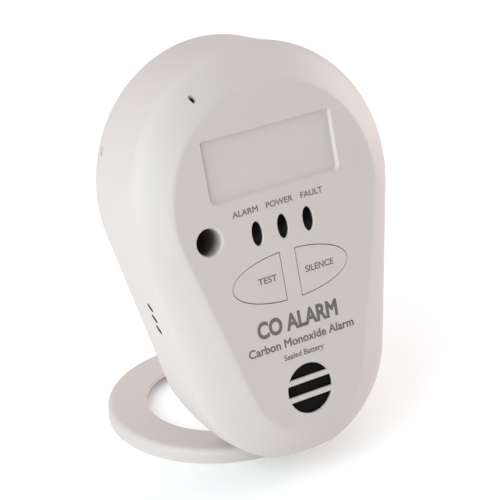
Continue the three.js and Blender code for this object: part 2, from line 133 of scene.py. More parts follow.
def fit(made, material, body, node, angle=32.0):
    """Finishes a piece and fixes it to its body, in place of its plain solid."""
    soften(made, angle)
    dress(made, material)
    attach(made, body)
    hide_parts(node)


# ---- Camera ----------------------------------------------------------------
# Seen from the front left and a little above, through a long lens.
CAMERA_AZIMUTH = math.radians(30.08)
CAMERA_ELEVATION = math.radians(24.66)
CAMERA_ROLL = math.radians(-3.56)
CAMERA_DISTANCE = 0.5582
CAMERA_LENS = 136.17
CAMERA_TARGET = Vector((0.00756, 0.0, 0.05406))


def add_camera():
    back = Vector((
        -math.sin(CAMERA_AZIMUTH) * math.cos(CAMERA_ELEVATION),
        -math.cos(CAMERA_AZIMUTH) * math.cos(CAMERA_ELEVATION),
        math.sin(CAMERA_ELEVATION),
    ))
    level = Vector((math.cos(CAMERA_AZIMUTH), -math.sin(CAMERA_AZIMUTH), 0))
    turned = Matrix.Rotation(CAMERA_ROLL, 3, back)
    side = turned @ level
    top = turned @ back.cross(level)
    camera = bpy.data.objects.new("camera", bpy.data.cameras.new("camera"))
    camera.data.lens = CAMERA_LENS
    camera.data.clip_start = 0.01
    camera.data.clip_end = 20
    placed = Matrix((side, top, back)).transposed().to_4x4()
    placed.translation = CAMERA_TARGET + back * CAMERA_DISTANCE
    camera.matrix_world = placed
    bpy.context.scene.collection.objects.link(camera)
    bpy.context.scene.camera = camera


add_camera()

# ---- Studio ----------------------------------------------------------------
# A plain white table, faintly lit from below, under an even white sky. A large
# cool soft light stands on the left, and weaker ones on the right and overhead.
scene = bpy.context.scene
scene.view_settings.view_transform = "Standard"


def add_sky():
    """An even white sky that dims towards the front, where no light stands."""
    sky = bpy.data.worlds.new("studio_sky")
    sky.use_nodes = True
    nodes, links = sky.node_tree.nodes, sky.node_tree.links
    nodes["Background"].inputs["Color"].default_value = (1.0, 0.975, 0.965, 1)
    way = nodes.new("ShaderNodeTexCoord")
    split = nodes.new("ShaderNodeSeparateXYZ")
    dim = nodes.new("ShaderNodeMapRange")
    dim.interpolation_type = "SMOOTHSTEP"
    dim.inputs["From Min"].default_value = -0.9
    dim.inputs["From Max"].default_value = 0.0
    dim.inputs["To Min"].default_value = 0.20
    dim.inputs["To Max"].default_value = 0.80
    links.new(way.outputs["Generated"], split.inputs["Vector"])
    links.new(split.outputs["Y"], dim.inputs["Value"])
    links.new(dim.outputs["Result"], nodes["Background"].inputs["Strength"])
    scene.world = sky


add_sky()


def soft_light(name, place, aim, size, power, colour):
    """A round area light that points at a spot."""
    data = bpy.data.lights.new(name, "AREA")
    data.shape = "DISK"
    data.size = size
    data.energy = power
    data.color = colour
    light = bpy.data.objects.new(name, data)
    light.location = place
    direction = Vector(place) - Vector(aim)
    light.rotation_euler = direction.to_track_quat("Z", "Y").to_euler()
    scene.collection.objects.link(light)


soft_light("left_light", (-0.88, -0.42, 0.42), (0, 0, 0.06), 1.2, 12.2, (0.80, 0.97, 1.0))
soft_light("right_light", (0.97, -0.12, 0.30), (0, 0, 0.06), 0.8, 6.2, (1.0, 0.95, 0.95))
soft_light("top_light", (0.05, 0.15, 1.0), (0, 0.02, 0.05), 0.6, 0.6, (1.0, 1.0, 1.0))


def add_floor():
    mesh = bmesh.new()
    bmesh.ops.create_grid(mesh, x_segments=1, y_segments=1, size=3.0)
    floor = piece("floor", mesh)
    material = bpy.data.materials.new("floor_white")
    material.use_nodes = True
    nodes = material.node_tree.nodes
    shader = nodes["Principled BSDF"]
    shader.inputs["Roughness"].default_value = 0.9
    shader.inputs["Emission Color"].default_value = (1, 1, 1, 1)
    shader.inputs["Emission Strength"].default_value = 0.08
    noise = nodes.new("ShaderNodeTexNoise")
    noise.inputs["Scale"].default_value = 3.0
    ramp = nodes.new("ShaderNodeValToRGB")
    ramp.color_ramp.elements[0].color = (0.93, 0.93, 0.93, 1)
    ramp.color_ramp.elements[1].color = (0.95, 0.95, 0.95, 1)
    material.node_tree.links.new(noise.outputs["Fac"], ramp.inputs["Fac"])
    material.node_tree.links.new(ramp.outputs["Color"], shader.inputs["Base Color"])
    dress(floor, material)


add_floor()

# ---- Front cover -----------------------------------------------------------
# One white ABS moulding: a flat face, a swelling bevel and the whole side wall.
# The face carries a blank window recess, and openings for all that shows. Posts
# on its back take the screws of the circuit board and of the rear cover.
WALL = 2.0
BEVEL_DEPTH = 9.2
CASE_FOOT = -66.8
# Each outline is the hull of an upper and a lower circle: (y, radius) of each.
FACE = (8.2, 32.3, -41.2, 18.6)
WAIST = (10.05, 41.08, -37.0, 31.75)
REAR = (12.3, 39.8, -34.6, 30.0)
TOP_STEPS, FOOT_STEPS = 120, 76


def hull(circles, grow=0.0, floor=CASE_FOOT):
    """Points round two circles and the straight sides between them."""
    top_y, top_r, foot_y, foot_r = circles
    slope = math.asin((top_r - foot_r) / (top_y - foot_y))
    points = []
    for i in range(TOP_STEPS + 1):
        angle = -slope + (math.pi + 2 * slope) * i / TOP_STEPS
        reach = top_r + grow
        points.append((math.cos(angle) * reach, top_y + math.sin(angle) * reach))
    for i in range(FOOT_STEPS + 1):
        angle = math.pi + slope + (math.pi - 2 * slope) * i / FOOT_STEPS
        reach = foot_r + grow
        low = foot_y + math.sin(angle) * reach
        points.append((math.cos(angle) * reach, max(low, floor - grow)))
    return points


def outline(depth):
    """The two circles of the case at a depth."""
    if depth <= BEVEL_DEPTH:
        weight = math.sin(math.pi / 2 * depth / BEVEL_DEPTH)
        pair = (FACE, WAIST)
    else:
        weight = ((depth - BEVEL_DEPTH) / (CASE_DEPTH - BEVEL_DEPTH)) ** 2
        pair = (WAIST, REAR)
    return [a + (b - a) * weight for a, b in zip(*pair)]


def case_ring(depth, grow=0.0):
    return [(x, y, depth) for x, y in hull(outline(depth), grow)]


def front_cover_skin():
    """The shell, from the middle of its face out, round the rim and back inside."""
    rings = [case_ring(0.0, grow) for grow in (-2.4, -1.2, -0.55)]
    # The face turns into the bevel over a small radius.
    rings += [case_ring(0.03, -0.28), case_ring(0.1, -0.1)]
    for step in range(2, 21):
        rings.append(case_ring(BEVEL_DEPTH * (step / 20) ** 1.25))
    for step in range(1, 9):
        rings.append(case_ring(BEVEL_DEPTH + (CASE_DEPTH - 0.3 - BEVEL_DEPTH) * step / 8))
    rings += [case_ring(CASE_DEPTH - 0.08, -0.08), case_ring(CASE_DEPTH, -0.3)]
    rings.append(case_ring(CASE_DEPTH, -WALL + 0.1))
    for depth in (CASE_DEPTH - 0.1, 24.0, 16.0, BEVEL_DEPTH, 7.0, 5.0, 3.5, WALL):
        rings.append(case_ring(depth, -WALL))
    return loft(rings)


def ellipse(x, y, half_width, half_height, depth, steps=48):
    turn = 2 * math.pi / steps
    return [
        (x + half_width * math.cos(i * turn), y + half_height * math.sin(i * turn), depth)
        for i in range(steps)
    ]


def spindle(x, y, profile, steps=48, **how):
    """A skin turned about an axis into the case, from (radius, depth) pairs."""
    return loft([ellipse(x, y, r, r, depth, steps) for r, depth in profile], **how)


def chamfered(ring, depth=WALL + 1, chamfer=0.15, into=None):
    """A straight cutter whose mouth opens by a small chamfer at the face."""
    stages = ((chamfer + 1, -1), (0, chamfer), (0, depth))
    return loft([ring(grow, at_depth) for grow, at_depth in stages], into=into)


WINDOW_HALF, WINDOW_LOW, WINDOW_HIGH, WINDOW_DEEP = 20.95, 10.7, 28.7, 1.0


def window_ring(side, low, high, depth):
    """The window's outline, square at the top and rounded at the bottom."""
    half, corner = WINDOW_HALF - side, 1.9 - side * 0.6
    bottom, top = WINDOW_LOW + low, WINDOW_HIGH - high
    points = []
    for centre, start in ((half - corner, -90), (-half + corner, -180)):
        arc = [
            (
                centre + corner * math.cos(math.radians(start + 15 * i)),
                bottom + corner + corner * math.sin(math.radians(start + 15 * i)),
                depth,
            )
            for i in range(7)
        ]
        points.append(arc)
    nib = 0.35
    head = [(half, top - nib, depth), (half - nib, top, depth),
            (-half + nib, top, depth), (-half, top - nib, depth)]
    return points[0] + head + points[1]


def window_cutter(into=None):
    return loft([
        window_ring(-1.0, -1.0, -0.3, -1.0),
        window_ring(0.0, 0.0, 0.0, -0.02),
        window_ring(0.5, 0.6, 0.25, WINDOW_DEEP - 0.12),
        window_ring(0.7, 0.75, 0.4, WINDOW_DEEP),
    ], into=into)


LENS_PITCH, LENS_HALF_WIDTH, LENS_HALF_HEIGHT = 8.26, 1.68, 3.5
BUTTON_Y, BUTTON_HALF_WIDTH, BUTTON_HALF_HEIGHT, HALF_STRIP = -13.8, 18.9, 7.1, 2.34
GRILLE_Y, GRILLE_RADIUS, BAR_HEIGHT, BAR_OFFSETS = -47.4, 7.3, 1.5, (2.9, -2.0)
GRILLE_SKIN, GRILLE_POCKET = 0.9, 9.7
WELL_X, WELL_Y, WELL_MOUTH, WELL_FLOOR, WELL_DEEP = -23.1, 1.4, 3.8, 3.2, 14.0


def button_ring(side, grow, depth, steps=56):
    """Half of a split oval, as its closed outline moved out by grow."""
    half_width, half_height = BUTTON_HALF_WIDTH + grow, BUTTON_HALF_HEIGHT + grow
    limit = math.acos((HALF_STRIP - grow) / half_width)
    ring = []
    for i in range(steps + 1):
        angle = -limit + 2 * limit * i / steps
        ring.append((side * half_width * math.cos(angle),
                     BUTTON_Y + half_height * math.sin(angle), depth))
    return ring


def grille_slot(low, high, grow, depth, steps=24):
    """The part of the grille's circle between two heights."""
    radius = GRILLE_RADIUS + grow
    low = max(low - grow, -radius * 0.999)
    high = min(high + grow, radius * 0.999)
    start, end = math.asin(low / radius), math.asin(high / radius)
    ring = []
    for side in (1, -1):
        arc = []
        for i in range(steps + 1):
            angle = start + (end - start) * i / steps
            arc.append((side * radius * math.cos(angle),
                        GRILLE_Y + radius * math.sin(angle), depth))
        ring += arc if side == 1 else list(reversed(arc))
    return ring


BOARD_FRONT, BOARD_REAR, GAP = 9.0, 10.6, 0.3
REAR_COVER_FRONT = 28.8
BOARD_SCREWS = ((28, 8), (-28, 14), (0, -27.5))
CASE_SCREWS = ((0, 45), (18, -47), (-18, -47))
PILOT_RADIUS = 1.3


def add_posts(cover):
    """The posts on the cover's back for its screws, with their holes."""
    posts = bmesh.new()
    holes = spindle(WELL_X, WELL_Y, ((1.5, WELL_DEEP - 1), (1.5, WELL_DEEP + 3)), 24)
    for x, y in BOARD_SCREWS:
        spindle(x, y, ((2.8, 1.0), (2.7, BOARD_FRONT - GAP)), 32, into=posts)
        spindle(x, y, ((PILOT_RADIUS, 3.5), (PILOT_RADIUS, BOARD_FRONT + 1)), 24, into=holes)
    for x, y in CASE_SCREWS:
        root = 5.4 if y > 0 else 1.9
        spindle(x, y, ((3.0, root), (2.9, REAR_COVER_FRONT - GAP)), 32, into=posts)
        spindle(x, y, ((PILOT_RADIUS, 14), (PILOT_RADIUS, REAR_COVER_FRONT + 1)), 24, into=holes)
    carve(cover, posts, "UNION")
    carve(cover, holes)


def face_cuts():
    """Everything that is cut into the flat face."""
    cutter = window_cutter()
    for side in (-1, 0, 1):
        chamfered(lambda grow, depth: ellipse(
            side * LENS_PITCH, 0, LENS_HALF_WIDTH + grow, LENS_HALF_HEIGHT + grow, depth),
            into=cutter)
    for side in (-1, 1):
        chamfered(lambda grow, depth: button_ring(side, grow, depth), chamfer=0.08, into=cutter)
    well = ((WELL_MOUTH + 1.6, -1), (WELL_MOUTH + 0.75, -0.02), (WELL_MOUTH + 0.35, 0.16),
            (WELL_MOUTH + 0.1, 0.45), (WELL_MOUTH, 0.95), (WELL_MOUTH - 0.1, 5.4),
            (WELL_FLOOR, WELL_DEEP - 0.5),
            (WELL_FLOOR - 0.5, WELL_DEEP))
    spindle(WELL_X, WELL_Y, well, 64, into=cutter)
    # The grille is three openings between two flush bars.
    edges = [-99.0]
    for offset in reversed(BAR_OFFSETS):
        edges += [offset - BAR_HEIGHT / 2, offset + BAR_HEIGHT / 2]
    edges.append(99.0)
    for low, high in zip(edges[0::2], edges[1::2]):
        chamfered(lambda grow, depth: grille_slot(low, high, grow, depth), into=cutter)
    return cutter


def slot_ring(x, y, half_length, half_width, depth, turn=0.0, steps=8):
    """A slot with round ends, as a closed outline."""
    straight = half_length - half_width
    ring = []
    for end in (1, -1):
        for i in range(steps + 1):
            angle = math.pi * (i / steps - 0.5)
            a = end * (straight + half_width * math.cos(angle))
            b = end * half_width * math.sin(angle)
            ring.append((x + a * math.cos(turn) - b * math.sin(turn),
                         y + a * math.sin(turn) + b * math.cos(turn), depth))
    return ring


LATCH_X, LATCH_Y, LATCH_TURN, LATCH_FLOOR = -19.2, 40.0, -1.1, 4.3
LATCH_HALF_LENGTH, LATCH_HALF_WIDTH = 1.2, 0.6
VENT_COUNT, VENT_TOP, VENT_PITCH, VENT_DEPTH, VENT_TILT = 3, -15.7, 3.4, 16.6, 0.74
VENT_HALF_LENGTH, VENT_HALF_WIDTH, VENT_INNER, VENT_OUTER = 1.5, 0.7, 29, 43
NICK_X, NICK_Y, NICK_DEPTH, NICK_SUNK = 36.7, 28.0, 28.1, 0.35
NICK_HALF_LENGTH, NICK_HALF_WIDTH = 1.4, 0.7


def side_cuts():
    """The latch slot in the upper bevel, and vents and a nick in each side wall."""
    cutter = loft([
        slot_ring(LATCH_X, LATCH_Y, LATCH_HALF_LENGTH, LATCH_HALF_WIDTH, depth, LATCH_TURN)
        for depth in (-1, LATCH_FLOOR)
    ])
    for side in (-1, 1):
        for i in range(VENT_COUNT):
            flat = slot_ring(VENT_TOP - i * VENT_PITCH, VENT_DEPTH, VENT_HALF_LENGTH,
                             VENT_HALF_WIDTH, 0, VENT_TILT)
            loft([[(side * x, y, depth) for y, depth, _ in flat]
                  for x in (VENT_INNER, VENT_OUTER)], into=cutter)
        out = Vector((side * NICK_X, NICK_Y - REAR[0])).normalized()
        floor = Vector((side * NICK_X, NICK_Y)) - out * NICK_SUNK
        flat = slot_ring(0, 0, NICK_HALF_LENGTH, NICK_HALF_WIDTH, 0)
        loft([[(floor.x + out.x * lift - out.y * a, floor.y + out.y * lift + out.x * a,
                NICK_DEPTH + b) for a, b, _ in flat] for lift in (0.0, 2.5)], into=cutter)
    return cutter


def grain_group():
    """Fine moulded texture: a soft tint, a gloss that varies and a bump."""
    group = bpy.data.node_groups.new("moulded_grain", "ShaderNodeTree")
    face = group.interface
    for name, kind, value in (
        ("Colour", "NodeSocketColor", (0.8, 0.8, 0.8, 1)),
        ("Tint", "NodeSocketColor", (0.7, 0.7, 0.7, 1)),
        ("Grain Size", "NodeSocketFloat", 0.0004),
        ("Grain Depth", "NodeSocketFloat", 0.1),
        ("Gloss Low", "NodeSocketFloat", 0.4),
        ("Gloss High", "NodeSocketFloat", 0.5),
    ):
        socket = face.new_socket(name=name, in_out="INPUT", socket_type=kind)
        socket.default_value = value
    face.new_socket(name="Colour", in_out="OUTPUT", socket_type="NodeSocketColor")
    face.new_socket(name="Roughness", in_out="OUTPUT", socket_type="NodeSocketFloat")
    face.new_socket(name="Normal", in_out="OUTPUT", socket_type="NodeSocketVector")
    nodes, links = group.nodes, group.links
    entry = nodes.new("NodeGroupInput")
    leave = nodes.new("NodeGroupOutput")
    place = nodes.new("ShaderNodeTexCoord")
    cloud = nodes.new("ShaderNodeTexNoise")
    cloud.inputs["Scale"].default_value = 38.0
    cloud.inputs["Detail"].default_value = 4.0
    links.new(place.outputs["Object"], cloud.inputs["Vector"])
    mix = nodes.new("ShaderNodeMix")
    mix.data_type = "RGBA"
    links.new(cloud.outputs["Fac"], mix.inputs["Factor"])
    links.new(entry.outputs["Colour"], mix.inputs["A"])
    links.new(entry.outputs["Tint"], mix.inputs["B"])
    links.new(mix.outputs["Result"], leave.inputs["Colour"])
    frequency = nodes.new("ShaderNodeMath")
    frequency.operation = "DIVIDE"
    frequency.inputs[0].default_value = 1.0
    links.new(entry.outputs["Grain Size"], frequency.inputs[1])
    grain = nodes.new("ShaderNodeTexNoise")
    grain.inputs["Detail"].default_value = 2.0
    links.new(place.outputs["Object"], grain.inputs["Vector"])
    links.new(frequency.outputs["Value"], grain.inputs["Scale"])
    gloss = nodes.new("ShaderNodeMapRange")
    links.new(grain.outputs["Fac"], gloss.inputs["Value"])
    links.new(entry.outputs["Gloss Low"], gloss.inputs["To Min"])
    links.new(entry.outputs["Gloss High"], gloss.inputs["To Max"])
    links.new(gloss.outputs["Result"], leave.inputs["Roughness"])
    bump = nodes.new("ShaderNodeBump")
    bump.inputs["Distance"].default_value = 0.00004
    links.new(entry.outputs["Grain Depth"], bump.inputs["Strength"])
    links.new(grain.outputs["Fac"], bump.inputs["Height"])
    links.new(bump.outputs["Normal"], leave.inputs["Normal"])
    return group


moulded_grain = grain_group()


def moulded(name, colour, tint, size, depth, gloss, **sockets):
    """A material with the moulded grain, and fixed values for its other sockets."""
    material = bpy.data.materials.new(name)
    material.use_nodes = True
    tree = material.node_tree
    shader = tree.nodes["Principled BSDF"]
    grain = tree.nodes.new("ShaderNodeGroup")
    grain.node_tree = moulded_grain
    settings = ((*colour, 1), (*tint, 1), size, depth, *gloss)
    for socket, value in zip(grain.inputs, settings):
        socket.default_value = value
    for output, socket in zip(grain.outputs, ("Base Color", "Roughness", "Normal")):
        tree.links.new(output, shader.inputs[socket])
    for socket, value in sockets.items():
        shader.inputs[socket.replace("_", " ")].default_value = value
    return material


shell_white = moulded("shell_white", (0.564, 0.494, 0.474), (0.542, 0.475, 0.456),
                      0.0006, 0.25, (0.42, 0.52))
# Depth down the screw well over which the painted shade reaches full darkness.
BORE_SHADE_FADE = 5.0


def overlay(material, mask, colour):
    """Mixes a colour over a material's own one where a mask is set."""
    tree = material.node_tree
    mix = tree.nodes.new("ShaderNodeMix")
    mix.data_type = "RGBA"
    base = tree.nodes["Principled BSDF"].inputs["Base Color"]
    tree.links.new(mask, mix.inputs["Factor"])
    tree.links.new(base.links[0].from_socket, mix.inputs["A"])
    mix.inputs["B"].default_value = (*colour, 1)
    tree.links.new(mix.outputs["Result"], base)


def paint_bore_shade(made):
    """Gives the bore value, a mask of painted shade, to the faces down the screw well (darker with
    depth) and in the vents.
    """
    value = made.data.attributes.new("bore", "FLOAT", "CORNER")
    reach = VENT_HALF_LENGTH + 0.1
    top = VENT_TOP + reach
    low = VENT_TOP - (VENT_COUNT - 1) * VENT_PITCH - reach
    for face in made.data.polygons:
        places = [made.data.vertices[i].co - case_origin for i in face.vertices]
        spots = [(p.dot(right) / MM, p.dot(upward) / MM, p.dot(inward) / MM) for p in places]
        in_well = all(math.hypot(x - WELL_X, y - WELL_Y) < WELL_MOUTH + 0.15
                      for x, y, _ in spots)
        in_vent = abs(face.normal.dot(right)) < 0.3 and all(
            abs(x) > VENT_INNER - 2 and low < y < top and abs(depth - VENT_DEPTH) < reach
            for x, y, depth in spots)
        for loop, (_, _, depth) in zip(face.loop_indices, spots):
            if in_well:
                past_mouth = depth - 0.4
                value.data[loop].value = min(max(past_mouth, 0.0) / BORE_SHADE_FADE, 1.0)
            elif in_vent:
                value.data[loop].value = 1.0


# Painted shade: the plastic is coloured dark down the screw well and inside the vents, in place of
# the little light that gets there.
bore = shell_white.node_tree.nodes.new("ShaderNodeAttribute")
bore.attribute_name = "bore"
overlay(shell_white, bore.outputs["Fac"], (0.11, 0.088, 0.08))
cover = piece("front_cover_shell", front_cover_skin())
carve(cover, spindle(WELL_X, WELL_Y, ((5.4, 1.0), (4.9, WELL_DEEP + 1.6)), 64), "UNION")
carve(cover, face_cuts())
carve(cover, spindle(0, GRILLE_Y, ((GRILLE_POCKET, GRILLE_SKIN), (GRILLE_POCKET, WALL + 1))))
carve(cover, side_cuts())
add_posts(cover)
# Sets the painted-shade mask down the screw well and in the vents.
paint_bore_shade(cover)
fit(cover, shell_white, "case", "front_cover", 24)

# ---- Test and silence buttons ----------------------------------------------
# Two white ABS caps, the halves of one oval. Each has a flange behind the face
# that stops it falling out, and a stem that drives a black plunger. The plunger
# slides in a steel-cased switch on the board.
BUTTON_GAP, STEM_X = 0.24, 10.5
SWITCH_FRONT, SWITCH_HALF = 7.0, 3.0

black_plastic = moulded("black_plastic", (0.018, 0.018, 0.019), (0.03, 0.03, 0.032),
                        0.0005, 0.2, (0.38, 0.52))
zinc_steel = moulded("zinc_steel", (0.60, 0.61, 0.63), (0.50, 0.51, 0.54),
                     0.0003, 0.08, (0.22, 0.38), Metallic=1.0)


def box_ring(x, y, half_width, half_height, depth, turn=0.0):
    corners = ((1, -1), (1, 1), (-1, 1), (-1, -1))
    ring = []
    for a, b in corners:
        across, along = a * half_width, b * half_height
        ring.append((x + across * math.cos(turn) - along * math.sin(turn),
                     y + across * math.sin(turn) + along * math.cos(turn), depth))
    return ring


def rounded_ring(x, y, half_width, half_height, corner, depth, steps=6):
    """A rectangle with round corners, as a closed outline."""
    ring = []
    for a, b, start in ((1, -1, -90), (1, 1, 0), (-1, 1, 90), (-1, -1, 180)):
        for i in range(steps + 1):
            angle = math.radians(start + 90 * i / steps)
            ring.append((x + a * (half_width - corner) + corner * math.cos(angle),
                         y + b * (half_height - corner) + corner * math.sin(angle), depth))
    return ring


def slab(x, y, half_width, half_height, front, rear, corner=0.3, edge=0.1, into=None):
    """A flat block with round corners and softened edges."""
    stages = ((edge, front), (0, front + edge), (0, rear - edge), (edge, rear))
    return loft([rounded_ring(x, y, half_width - inset, half_height - inset,
                              max(corner - inset, 0.02), depth)
                 for inset, depth in stages], into=into)


def button(name, side, body):
    """A cap with its plunger and switch, on one side of the middle strip."""
    stages = ((-BUTTON_GAP - 1.2, 0.0), (-BUTTON_GAP - 0.18, 0.0), (-BUTTON_GAP - 0.05, 0.05),
              (-BUTTON_GAP, 0.18), (-BUTTON_GAP, WALL + 0.3), (0.7, WALL + 0.3), (0.7, WALL + 1.2))
    cap = piece(f"{name}_cap", loft([button_ring(side, grow, depth) for grow, depth in stages]))
    x = side * STEM_X
    carve(cap, spindle(x, BUTTON_Y, ((1.8, WALL), (1.8, 5.9), (1.7, 6.0)), 32), "UNION")
    fit(cap, shell_white, body, f"{name}_button")
    rod = ((1.35, 6.3), (1.5, 6.45), (1.5, 7.5), (1.4, 7.6))
    plunger = piece(f"{name}_rod", spindle(x, BUTTON_Y, rod, 32))
    fit(plunger, black_plastic, body, f"{name}_plunger")
    case = piece(f"{name}_switch_case", slab(
        x, BUTTON_Y, SWITCH_HALF, SWITCH_HALF, SWITCH_FRONT, BOARD_FRONT - GAP))
    carve(case, spindle(x, BUTTON_Y, ((1.8, SWITCH_FRONT - 1), (1.8, BOARD_FRONT + 1)), 32))
    fit(case, zinc_steel, "case", f"{name}_switch")


button("test", -1, "test_key")
button("silence", 1, "silence_key")

# ---- Lamps -----------------------------------------------------------------
# Three slim upright ovals of polished smoked plastic, slightly domed, each with
# a round-nosed LED behind it.
lens_smoke = moulded("lens_smoke", (0.004, 0.003, 0.003), (0.002, 0.0015, 0.0015),
                     0.003, 0.02, (0.07, 0.12), Specular_IOR_Level=0.08)
LENS_GAP, DOME_EDGE = 0.1, 0.55
LED_RADIUS, LED_NOSE, LED_RIM, LED_REAR = 1.3, 4.0, 7.6, 8.7


def lens(name, x):
    """A slim oval lens with a shallow dome."""
    half_width, half_height = LENS_HALF_WIDTH - LENS_GAP, LENS_HALF_HEIGHT - LENS_GAP
    rings = []
    for step in range(9):
        lean = math.radians(85 - 85 * step / 8)
        depth = LENS_FRONT + (DOME_EDGE - LENS_FRONT) * (1 - math.sin(lean))
        share = math.cos(lean)
        rings.append(ellipse(x, 0, half_width * share, half_height * share, depth, 40))
    rings.append(ellipse(x, 0, half_width, half_height, LENS_REAR, 40))
    fit(piece(f"{name}_lamp_lens", loft(rings)), lens_smoke, "case", f"{name}_lens")


def led(name, x, colour, tint, slot):
    """An LED with a round nose and a rim at its foot."""
    profile = []
    for step in range(1, 9):
        lean = math.radians(90 * step / 8)
        profile.append((LED_RADIUS * math.sin(lean),
                        LED_NOSE + LED_RADIUS * (1 - math.cos(lean))))
    profile += [(LED_RADIUS, LED_RIM), (1.6, LED_RIM), (1.6, LED_REAR - 0.1), (1.5, LED_REAR)]
    epoxy = moulded(slot, colour, tint, 0.002, 0.02, (0.06, 0.12), IOR=1.54)
    fit(piece(f"{name}_lamp", spindle(x, 0, profile, 32)), epoxy, "case", f"{name}_led")


for lamp_name, lamp_side, lamp_colour, lamp_tint, lamp_slot in (
    ("alarm", -1, (0.55, 0.03, 0.02), (0.42, 0.02, 0.015), "led_red"),
    ("power", 0, (0.06, 0.42, 0.08), (0.04, 0.33, 0.06), "led_green"),
    ("fault", 1, (0.62, 0.36, 0.04), (0.52, 0.29, 0.03), "led_amber"),
):
    lens(lamp_name, lamp_side * LENS_PITCH)
    led(lamp_name, lamp_side * LENS_PITCH, lamp_colour, lamp_tint, lamp_slot)

# ---- Printed legends -------------------------------------------------------
# Generic words pad-printed in warm grey ink, a few hundredths of a millimetre
# proud of the surface that they are on.
legend_ink = moulded("legend_ink", (0.115, 0.097, 0.093), (0.14, 0.12, 0.115),
                     0.0003, 0.3, (0.5, 0.62))
INK_PROUD, INK_SUNK, CAPITAL_HEIGHT = 0.02, 0.03, 0.729


def thicken(letters, bold):
    """Moves the sides of the strokes out, to make the letters bolder."""
    letters.normal_update()
    moves = []
    for v in letters.verts:
        sides = [face.normal for face in v.link_faces if abs(face.normal.z) < 0.5]
        out = sum(sides, Vector()).normalized()
        spread = max(min((out.dot(side) for side in sides), default=1.0), 0.6)
        moves.append(out * (bold / spread))
    for v, move in zip(letters.verts, moves):
        v.co += move


def legend(name, words, left, right_edge, middle, height, body, bold=0.018, depth=0.0):
    """Words fitted between two x values, with capitals of the given height."""
    curve = bpy.data.curves.new(name, "FONT")
    curve.body = words
    curve.extrude = 0.5
    text = bpy.data.objects.new(name, curve)
    scene.collection.objects.link(text)
    bpy.context.view_layer.update()
    mesh = bpy.data.meshes.new_from_object(
        text.evaluated_get(bpy.context.evaluated_depsgraph_get()))
    bpy.data.objects.remove(text)
    letters = bmesh.new()
    letters.from_mesh(mesh)
    bmesh.ops.remove_doubles(letters, verts=letters.verts, dist=0.0001)
    thicken(letters, bold)
    letters.to_mesh(mesh)
    letters.free()
    xs = [v.co.x for v in mesh.vertices]
    scale_x = (right_edge - left) / (max(xs) - min(xs))
    scale_y = height / CAPITAL_HEIGHT
    for v in mesh.vertices:
        x = left + (v.co.x - min(xs)) * scale_x
        y = middle + (v.co.y - CAPITAL_HEIGHT / 2) * scale_y
        v.co = at(x, y, depth - INK_PROUD if v.co.z > 0 else depth + INK_SUNK)
    made = bpy.data.objects.new(name, mesh)
    scene.collection.objects.link(made)
    dress(made, legend_ink)
    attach(made, body)


legend("legend_alarm", "ALARM", -15.0, -6.85, 6.95, 1.75, "case")
legend("legend_power", "POWER", -4.2, 4.5, 7.05, 1.75, "case")
legend("legend_fault", "FAULT", 7.05, 14.3, 7.0, 1.75, "case")
legend("legend_test", "TEST", -10.7, -4.6, -13.35, 1.85, "test_key")
legend("legend_silence", "SILENCE", 4.7, 14.0, -13.7, 1.85, "silence_key")
legend("legend_title", "CO ALARM", -13.6, 12.8, -26.8, 4.7, "case", bold=0.042)
legend("legend_kind", "Carbon Monoxide Alarm", -17.5, 17.3, -32.5, 2.45, "case", bold=0.026)
legend("legend_line", "Sealed Battery", -6.7, 6.4, -36.6, 1.7, "case")

# ---- Sounder ---------------------------------------------------------------
# A brass disc in a round black resonator cup, with a foam ring in front and a
# fine black gauze right behind the grille. Two leads run to the board.
GAUZE_PITCH = 0.00055
SOUNDER_RADIUS, SOUNDER_FRONT, SOUNDER_REAR = 12.5, 4.3, 12.6


def in_case_axes(tree):
    """A shader vector with x across the case, y up it and z through it."""
    place = tree.nodes.new("ShaderNodeTexCoord")
    turn = tree.nodes.new("ShaderNodeMapping")
    turn.inputs["Rotation"].default_value[0] = math.atan2(-upward.z, upward.y)
    tree.links.new(place.outputs["Object"], turn.inputs["Vector"])
    return turn.outputs["Vector"]


def bands(tree, vector, direction, pitch):
    """Even stripes, one to each pitch, across one direction."""
    wave = tree.nodes.new("ShaderNodeTexWave")
    wave.bands_direction = direction
    wave.inputs["Scale"].default_value = math.pi / 10 / pitch
    tree.links.new(vector, wave.inputs["Vector"])
    return wave.outputs["Fac"]


def emboss(material, height, distance):
    """Lets a pattern raise and sink a material's surface."""
    tree = material.node_tree
    bump = tree.nodes.new("ShaderNodeBump")
    bump.inputs["Distance"].default_value = distance
    tree.links.new(height, bump.inputs["Height"])
    tree.links.new(bump.outputs["Normal"], tree.nodes["Principled BSDF"].inputs["Normal"])
    return material


def woven_gauze():
    """Matt black threads that cross at right angles."""
    material = moulded("gauze_weave", (0.003, 0.003, 0.003), (0.006, 0.005, 0.005),
                       0.0004, 0.2, (0.8, 0.95), Specular_IOR_Level=0.15)
    tree = material.node_tree
    vector = in_case_axes(tree)
    weave = tree.nodes.new("ShaderNodeMath")
    weave.operation = "MAXIMUM"
    tree.links.new(bands(tree, vector, "X", GAUZE_PITCH), weave.inputs[0])
    tree.links.new(bands(tree, vector, "Y", GAUZE_PITCH), weave.inputs[1])
    return emboss(material, weave.outputs["Value"], 0.00015)


def foam(name):
    """Closed-cell foam: matt black with small round cells."""
    material = moulded(name, (0.02, 0.02, 0.022), (0.035, 0.035, 0.037), 0.0006, 0.4, (0.8, 0.95))
    tree = material.node_tree
    place = tree.nodes.new("ShaderNodeTexCoord")
    cells = tree.nodes.new("ShaderNodeTexVoronoi")
    cells.inputs["Scale"].default_value = 1600
    tree.links.new(place.outputs["Object"], cells.inputs["Vector"])
    return emboss(material, cells.outputs["Distance"], 0.0002)


foam_black = foam("foam_black")
rolled_brass = moulded("rolled_brass", (0.62, 0.44, 0.15), (0.50, 0.34, 0.11),
                       0.0008, 0.06, (0.22, 0.36), Metallic=1.0)

